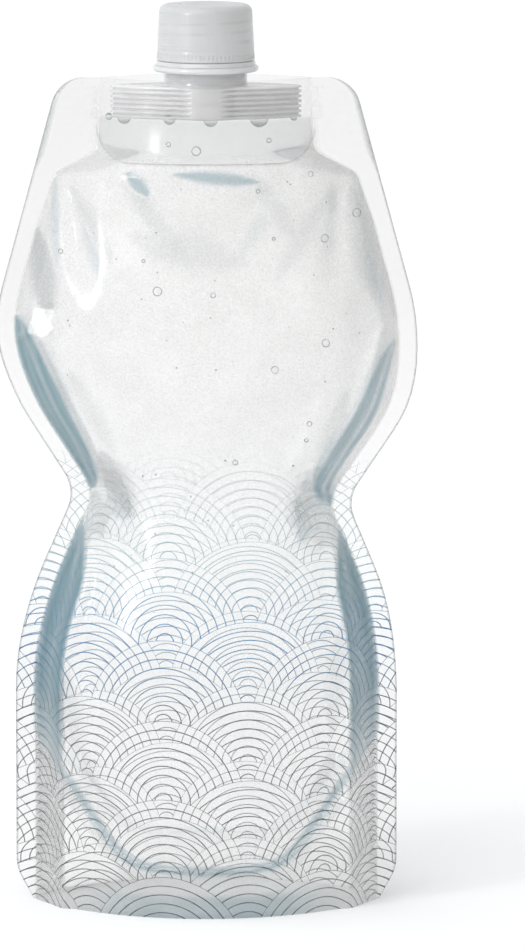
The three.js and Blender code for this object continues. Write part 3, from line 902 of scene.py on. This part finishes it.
def make_gusset(side):
    """One half of the gusset: its skirt inside the panel, then half of its floor."""
    reach = SEAM_AT_BASE - GUSSET_SIDE_GAP
    vertices, flat = [], []
    rows = SKIRT_ROWS + FLOOR_ROWS + 1
    for r in range(rows):
        for c in range(-GUSSET_COLUMNS, GUSSET_COLUMNS + 1):
            x = reach * math.sin(math.pi / 2 * c / GUSSET_COLUMNS)
            top = fold_height(x)
            if r < SKIRT_ROWS:
                z = top * r / SKIRT_ROWS
                y = skirt_depth(x, z)
            else:
                t = (r - SKIRT_ROWS) / FLOOR_ROWS
                y = skirt_depth(x, top) * (1 - t)
                z = gusset_height(x, y)
                ripple = 0.35 * math.sin(x * 0.33 + 1.3 * math.sin(y * 0.12)) * math.sin(math.pi * t)
                z += ripple * smoothstep(56, 30, abs(x))
            vertices.append((x, -side * y, z))
            # painted blue-green shade along the gusset's front fold and on a patch low on its front
            # skirt; the back half gets a tenth of it
            rim = math.exp(-((r - SKIRT_ROWS - 1) / 1.6) ** 2) * smoothstep(50, 20, abs(x))
            patch = smoothstep(46, 18, abs(x)) * smoothstep(8.5, 5.5, z) if r < SKIRT_ROWS else 0.0
            flat.append((x, z, (0.55 * rim + 0.5 * patch) * (1.0 if side > 0 else 0.1)))
    name = "bottom_gusset_front" if side > 0 else "bottom_gusset_back"
    faces = grid_faces(rows, 2 * GUSSET_COLUMNS + 1, flip=side < 0)
    piece = make_object(name, vertices, faces, GUSSET_FILM)
    store(piece, "flat", flat)
    thicken(piece)
    follow_wall(piece)
    return piece


front_panel = make_panel("front_film", 1)
back_panel = make_panel("back_film", -1)
follow_wall(front_panel)
follow_wall(back_panel)
gusset_front, gusset_back = make_gusset(1), make_gusset(-1)
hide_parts("bottom_gusset")

# ---------------------------------------------------------------- waterline, drops and bubbles

def inside_film(x, z, gap):
    """A place just inside the front panel, `gap` from its inner face."""
    x_now, z_now = settle(x, z)
    return Vector((x_now, -(panel_depth(x, z) - SKIN - gap), z_now))


def tube(name, points, radius, material, sides=8):
    """A closed tube along `points` whose ends taper away; `radius` is a function of 0 to 1 along it."""
    vertices, faces = [], []
    last = len(points) - 1
    for i, point in enumerate(points):
        along = (points[min(last, i + 1)] - points[max(0, i - 1)]).normalized()
        side = along.cross(Vector((0, 1, 0))).normalized()
        out = side.cross(along)
        r = radius(i / last)
        for k in range(sides):
            a = 2 * math.pi * k / sides
            vertices.append(point + side * (r * math.cos(a)) + out * (r * math.sin(a)))
    faces = grid_faces(len(points), sides, wrap=True)
    faces += [tuple(range(sides))[::-1], tuple(last * sides + k for k in range(sides))]
    return make_object(name, vertices, faces, material)


WATERLINE_POINTS = 120
CORNER_SHARE = 0.22     # of half of the waterline that each round corner takes


def make_waterline():
    """A thin tube of painted shade where the water meets the front panel, round the air pocket."""
    across = POCKET_HALF_WIDTH - POCKET_CORNER
    points = []
    for k in range(WATERLINE_POINTS + 1):
        t = mix(-1, 1, k / WATERLINE_POINTS)
        angle = math.pi / 2 * (1 - clamp01((1 - abs(t)) / CORNER_SHARE))
        if angle > 0:
            x = math.copysign(across + POCKET_CORNER * math.sin(angle), t)
            z = POCKET_FLOOR + POCKET_CORNER * (1 - math.cos(angle))
        else:
            x, z = across * t / (1 - CORNER_SHARE), POCKET_FLOOR
        points.append(inside_film(x, z, 0.35))
    line = tube("water_line", points, lambda t: 0.05 + 0.22 * math.sin(math.pi * t) ** 0.5, WATER_EDGE)
    follow_wall(line)


def blobs(name, places, material, flat=0.7, body=None):
    """Small round bodies at (centre, radius), in one object that rides on `body` or follows the front;
    `flat` is their depth for a width of 1."""
    bm = bmesh.new()
    for centre, radius in places:
        made = bmesh.ops.create_icosphere(bm, subdivisions=3, radius=radius * MM)
        for vertex in made["verts"]:
            wobble = 1 + 0.05 * noise.noise(vertex.co * 900 + centre)
            vertex.co = Vector((vertex.co.x * wobble, vertex.co.y * flat, vertex.co.z)) + centre * MM
    piece = from_bmesh(name, bm, material)
    if body:
        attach(piece, body)
    else:
        follow_wall(piece)


# x, z, radius of the larger bubbles
BUBBLES = [
    (-3, 248, 1.4), (-12, 250, 0.7), (20.5, 251, 0.7), (-15.5, 203.4, 1.4), (2.5, 202.3, 0.8),
    (38.5, 219.5, 1.2), (38.5, 186.5, 1.2), (21.5, 178.5, 1.1), (32, 161, 0.8), (31, 155.5, 0.6),
    (34, 240, 0.8), (49, 227, 1.3), (-47, 215, 0.7), (8, 148, 0.8), (-20, 213, 0.5), (17, 235, 0.6),
    (22, 220, 0.5),
]
BUBBLE_RIM = 0.16      # half the thickness of the rim of a bubble that lies against the film
SMALL_BUBBLES = 72


def make_bubble_rings():
    """The larger bubbles, as rings of painted grey shade that follow the film."""
    vertices, faces = [], []
    around, sides = 28, 6
    for x0, z0, radius in BUBBLES:
        first = len(vertices)
        for k in range(around):
            a = 2 * math.pi * k / around
            for s in range(sides):
                b = 2 * math.pi * s / sides
                reach = radius + BUBBLE_RIM * math.cos(b)
                x, z = x0 + reach * math.cos(a), z0 + reach * math.sin(a)
                vertices.append(inside_film(x, z, -SKIN - BUBBLE_RIM * math.sin(b)))
                here, beside = k * sides + s, k * sides + (s + 1) % sides
                step = sides if k < around - 1 else sides - around * sides
                quad = (here, here + step, beside + step, beside)
                faces.append([first + corner for corner in quad])
    rings = make_object("bubble_rings", vertices, faces, BUBBLE)
    follow_wall(rings)


def make_small_bubbles():
    """The small bubbles, as dots of painted grey shade scattered over the film."""
    chance = random.Random(7)
    dots = []
    for _ in range(SMALL_BUBBLES):
        z = chance.uniform(95, 240)
        x = chance.uniform(-1, 1) * (seam(z) - 12)
        radius = chance.uniform(0.14, 0.38)
        dots.append((inside_film(x, z, -SKIN), radius))
    blobs("bubbles", dots, BUBBLE, 0.35)


# x and radius of the drops that hang from the underside of the boat
DROP_PLACES = [(-26.5, 2.3), (-11.7, 2.0), (1.6, 2.3), (17.3, 3.0), (28.6, 1.3), (-31.5, 1.2)]


def make_drops():
    drops = []
    for x, r in DROP_PLACES:
        wing = (BOAT_HALF_DEPTH - WING_INSET) * (1 - (x / BOAT_HALF_LENGTH) ** 2)
        neck = math.sqrt(max(0, BOAT_HALF_DEPTH ** 2 - x * x))
        depth = max(wing, neck) - r * 0.95
        drops.append((Vector((x, -depth, BOAT_BOTTOM + 0.1)), r))
    blobs("drops", drops, DROP, 0.8, "bottle")


make_waterline()
make_bubble_rings()
make_small_bubbles()
make_drops()

# ---------------------------------------------------------------- spout and cap

BOAT_LEVELS, THREAD_LEVELS = 54, 48
SPOUT_STEPS, CAP_STEPS, SEAL_STEPS = 168, 252, 96     # round each piece


def thread_height(angle, z, start, turns, width=0.62):
    """0 to 1 across a helical ridge that climbs one pitch a turn."""
    turn = (z - start) / PITCH - angle / (2 * math.pi)
    nearest = round(turn)
    along = nearest + angle / (2 * math.pi)
    if not 0 <= along <= turns:
        return 0.0
    ends = smoothstep(0, 0.12, along) * smoothstep(0, 0.12, turns - along)
    off = abs(turn - nearest) * PITCH
    return ends * (1 - smoothstep(width * 0.55, width * 1.45, off))


def boat_radius(angle, inset):
    """Reach of the boat from the middle, at this angle: a pointed oval with the round neck in it."""
    length, depth = BOAT_HALF_LENGTH - inset, BOAT_HALF_DEPTH - WING_INSET - inset
    bulge = depth - BOAT_TIP
    radius = (length ** 2 + bulge ** 2) / (2 * bulge)
    down = radius - depth
    s = abs(math.sin(angle))
    reach = -down * s + math.sqrt(max(0, radius ** 2 - (down * math.cos(angle)) ** 2))
    wing = min(reach, length / max(1e-6, abs(math.cos(angle))))
    return max(wing, BOAT_HALF_DEPTH - inset)


def boat_ring(angle):
    """The ribbed outside of the boat, from the bottom up; the ribs stop at the round neck."""
    ring = []
    rib_pitch = (BOAT_TOP - BOAT_BOTTOM) / (BOAT_RIBS - 0.5)
    for k in range(BOAT_LEVELS + 1):
        z = mix(BOAT_BOTTOM, BOAT_TOP, k / BOAT_LEVELS)
        phase = ((z - BOAT_BOTTOM) / rib_pitch) % 1.0
        groove = smoothstep(0.5, 0.62, phase) * (1 - smoothstep(0.88, 1.0, phase))
        groove *= smoothstep(4, 9, abs(boat_radius(angle, 0) * math.cos(angle)))
        ends = 0.35 * (1 - smoothstep(0, 0.5, z - BOAT_BOTTOM) * smoothstep(0, 0.5, BOAT_TOP - z))
        ring.append((boat_radius(angle, RIB_DEPTH * groove + ends), z))
    return ring


def spout_profile(angle):
    """From the bore's lower end outwards, up the boat, the neck and its thread, and back down."""
    ring = [(BORE, BOAT_BOTTOM)] + boat_ring(angle)
    neck = BOAT_HALF_DEPTH - 0.9
    ring.append((mix(boat_radius(angle, 0.4), neck, 0.7), BOAT_TOP + 0.02))
    ring += [(neck + 0.7, BOAT_TOP + 0.05), (neck + 0.2, BOAT_TOP + 0.25), (neck, BOAT_TOP + 0.8)]
    ring += [(neck, FLANGE_BOTTOM - 0.5), (neck + 0.4, FLANGE_BOTTOM)]
    for k in range(9):
        a = -math.pi / 2 + math.pi * k / 8
        z = mix(FLANGE_BOTTOM, FLANGE_TOP, (math.sin(a) + 1) / 2)
        ring.append((FLANGE_RADIUS - 1.05 + math.cos(a), z))
    ring += [(BEAD + 0.3, FLANGE_TOP), (BEAD, FLANGE_TOP + 0.3)]
    ring += [(BEAD, BEAD_TOP - 0.3), (BEAD - 0.3, BEAD_TOP)]
    ring += [(NECK + 0.4, BEAD_TOP), (NECK, BEAD_TOP + 0.3)]
    start = THREAD_TOP - THREAD_TURNS * PITCH
    low, high = start - 1.6, THREAD_TOP + 1.6
    for k in range(THREAD_LEVELS + 1):
        z = mix(low, high, k / THREAD_LEVELS)
        ring.append((NECK + 1.15 * thread_height(angle, z, start, THREAD_TURNS), z))
    ring += [(NECK, NECK_TOP - 0.6), (NECK - 0.2, NECK_TOP - 0.18), (NECK - 0.6, NECK_TOP)]
    ring += [(BORE + 0.4, NECK_TOP), (BORE + 0.1, NECK_TOP - 0.1), (BORE, NECK_TOP - 0.4)]
    return ring


spout = spun("spout_body", spout_profile, SPOUT_PLASTIC, SPOUT_STEPS)
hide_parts("spout")
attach(spout, "bottle")

CAP_BOTTOM, CAP_TOP = CAP_LOW.z / MM, CAP_HIGH.z / MM
CAP_RADIUS, CAP_INNER = CAP_HIGH.x / MM, 14.3
CAP_ROOF, CAP_ROUNDING = 1.5, 2.6
CAP_TAPER = 0.8
GRIP_RIBS, GRIP_DEPTH = 72, 0.26


def cap_inside(angle):
    """From the middle of the roof down the threaded wall."""
    roof = CAP_TOP - CAP_ROOF
    ring = [(0.0, roof), (CAP_INNER * 0.5, roof), (CAP_INNER - 0.5, roof), (CAP_INNER, roof - 0.5)]
    start = THREAD_TOP - THREAD_TURNS * PITCH + PITCH / 2
    low, high = start - 1.4, start + CAP_THREAD_TURNS * PITCH + 1.4
    for k in range(45):
        z = mix(high, low, k / 44)
        ring.append((CAP_INNER - 1.1 * thread_height(angle, z, start, CAP_THREAD_TURNS), z))
    return ring + [(CAP_INNER, CAP_BOTTOM + 0.5), (CAP_INNER + 0.3, CAP_BOTTOM + 0.1)]


def cap_outside(angle):
    """From the lower edge up the tapered wall, with its fine grip ribs near the edge, to the top."""
    ring = [(CAP_RADIUS - 0.5, CAP_BOTTOM), (CAP_RADIUS - 0.16, CAP_BOTTOM + 0.12)]
    ring.append((CAP_RADIUS - 0.05, CAP_BOTTOM + 0.4))
    wave = 0.5 + 0.5 * math.cos(GRIP_RIBS * angle)
    wall_top = CAP_TOP - CAP_ROUNDING
    for k in range(34):
        z = mix(CAP_BOTTOM + 0.7, wall_top, (k / 33) ** 1.3)
        above = z - CAP_BOTTOM
        r = CAP_RADIUS - 0.06 - CAP_TAPER * above / (wall_top - CAP_BOTTOM)
        r -= GRIP_DEPTH * smoothstep(0.7, 1.0, above) * (1 - smoothstep(2.2, 2.8, above)) * wave
        r -= 0.10 * math.exp(-((above - 3.6) / 0.35) ** 2)
        ring.append((r, z))
    for k in range(1, 9):
        a = math.pi / 2 * k / 8
        r = CAP_RADIUS - 0.06 - CAP_TAPER - CAP_ROUNDING * (1 - math.cos(a))
        ring.append((r, wall_top + CAP_ROUNDING * math.sin(a)))
    dish = CAP_TOP - 0.18
    ring += [(CAP_RADIUS * 0.6, CAP_TOP), (CAP_RADIUS * 0.42, CAP_TOP - 0.02)]
    return ring + [(CAP_RADIUS * 0.38, dish), (0.0, dish)]


def cap_profile(angle):
    return cap_inside(angle) + cap_outside(angle)


cap = spun("cap_body", cap_profile, CAP_PLASTIC, CAP_STEPS)
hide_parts("cap")
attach(cap, "cap")

seal_radius = SEAL_HIGH.x / MM
seal_low, seal_high = SEAL_LOW.z / MM, SEAL_HIGH.z / MM
seal_profile = rounded_line([
    (0, seal_low), (seal_radius, seal_low, 0.25), (seal_radius, seal_high, 0.25), (0, seal_high)], 5)
seal = spun("seal_disc", seal_profile, SEAL_FOAM, SEAL_STEPS)
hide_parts("cap_seal")
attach(seal, "seal")

# ---------------------------------------------------------------- floor, light and camera

# metres, apart from the sensor, and angles in degrees
FLOOR_RADIUS = 12.0
WORLD_LEFT, WORLD_RIGHT = (1.14, 1.17, 1.21, 1), (0.60, 0.60, 0.58, 1)
KEY_PLACE, KEY_SIZE, KEY_POWER = (-1.1, -1.0, 0.6), (0.18, 0.34), 3.8
SUN_STRENGTH, SUN_ANGLE, SUN_LEAN, SUN_TURN = 0.85, 50, 38, -30
CAMERA_DISTANCE, CAMERA_LIFT = 2.6, 7.7
CAMERA_TARGET = Vector((0.0184, 0, 0.1403))
FRAME_HEIGHT = 0.3103     # of the view, at the bottle
SENSOR = 36               # millimetres


def make_stage():
    n = Nodes("studio_floor")
    colour = n.ramp(n.noise(3.0, 3.0, 0.5), [(0.3, (0.95, 0.95, 0.95)), (0.7, (0.96, 0.96, 0.96))])
    n.finish(n.add("ShaderNodeBsdfDiffuse", {"Color": colour}).outputs[0])
    bm = bmesh.new()
    bmesh.ops.create_circle(bm, cap_ends=True, segments=96, radius=FLOOR_RADIUS)
    from_bmesh("floor", bm, n.material, smooth=False)


def make_world():
    """Soft white surroundings, brighter and cooler from the left; the backdrop itself is white."""
    world = bpy.data.worlds.new("studio")
    bpy.context.scene.world = world
    n = Nodes("studio", world)
    direction = n.add("ShaderNodeTexCoord").outputs["Generated"]
    from_left = n.span(n.parts(direction)[0], -1, 1, kind="LINEAR")
    tones = n.ramp(from_left, [(0, WORLD_LEFT), (1, WORLD_RIGHT)])
    seen = n.add("ShaderNodeLightPath").outputs["Is Camera Ray"]
    n.finish(n.add("ShaderNodeBackground", {"Color": n.mix_colour(seen, tones, WHITE)}).outputs[0])


def aim(thing, direction):
    """Points a light or a camera along `direction`."""
    thing.rotation_mode = "QUATERNION"
    thing.rotation_quaternion = direction.to_track_quat("-Z", "Y")


def make_lights():
    key = bpy.data.lights.new("key", "AREA")
    key.shape = "RECTANGLE"
    key.size, key.size_y = KEY_SIZE
    key.energy = KEY_POWER
    lamp = add_object("key", key)
    lamp.location = KEY_PLACE
    middle = Vector((0, 0, CAD_BOX[1].z / 2))
    aim(lamp, middle - Vector(KEY_PLACE))

    sun = bpy.data.lights.new("sun", "SUN")
    sun.energy = SUN_STRENGTH
    sun.angle = math.radians(SUN_ANGLE)
    add_object("sun", sun).rotation_euler = (math.radians(SUN_LEAN), math.radians(SUN_TURN), 0)


def make_camera():
    data = bpy.data.cameras.new("camera")
    data.sensor_width = SENSOR
    data.lens = SENSOR * CAMERA_DISTANCE / FRAME_HEIGHT
    camera = add_object("camera", data)
    lift = math.radians(CAMERA_LIFT)
    back = Vector((0, -math.cos(lift), math.sin(lift)))
    camera.location = CAMERA_TARGET + back * CAMERA_DISTANCE
    aim(camera, -back)
    bpy.context.scene.camera = camera


make_stage()
make_world()
make_lights()
make_camera()
bpy.context.scene.view_settings.view_transform = "Standard"
bpy.context.scene.cycles.transparent_max_bounces = 32     # the skirt has many clear layers
